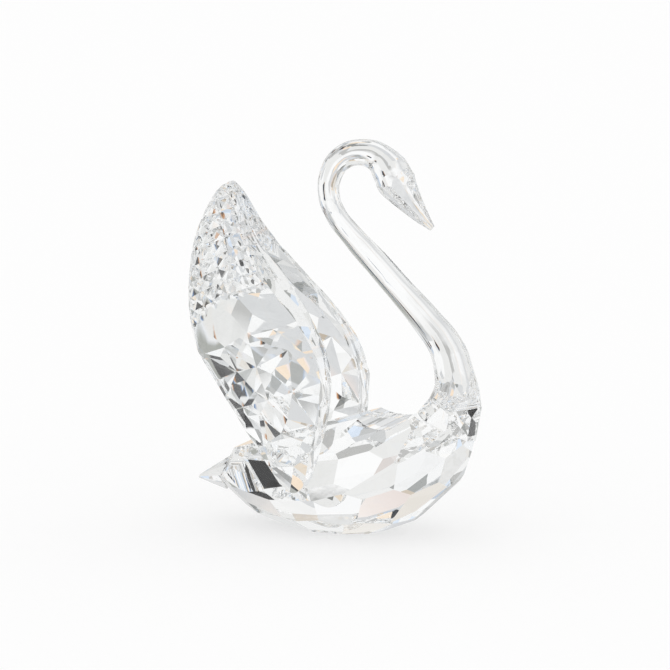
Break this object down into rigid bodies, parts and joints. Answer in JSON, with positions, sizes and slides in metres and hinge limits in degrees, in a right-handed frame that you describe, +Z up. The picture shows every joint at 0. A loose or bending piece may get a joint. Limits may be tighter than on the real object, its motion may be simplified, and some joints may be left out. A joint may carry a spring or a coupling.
{
  "type": "crystal swan figurine",
  "caption": "Free-standing swan figurine in clear cut glass: faceted body and tail, a pair of raised leaf-shaped wings and a slender bent neck with a ground head and bill.",
  "frame": {"origin": "centre line of the ground flat under the body, on the surface the swan stands on", "axes": "+X the way the swan faces, +Y its left side, +Z up"},
  "size_m": [0.0738, 0.0386, 0.0958],
  "materials": {
    "crystal": "polished clear crystal glass with ground facets",
    "adhesive": "clear cured adhesive film"
  },
  "bodies": {
    "root": {"body": "crystal", "tail": "crystal", "wing_left": "crystal", "wing_right": "crystal", "neck": "crystal", "bond_tail": "adhesive", "bond_wing_left": "adhesive", "bond_wing_right": "adhesive", "bond_neck": "adhesive"}
  },
  "joints": []
}
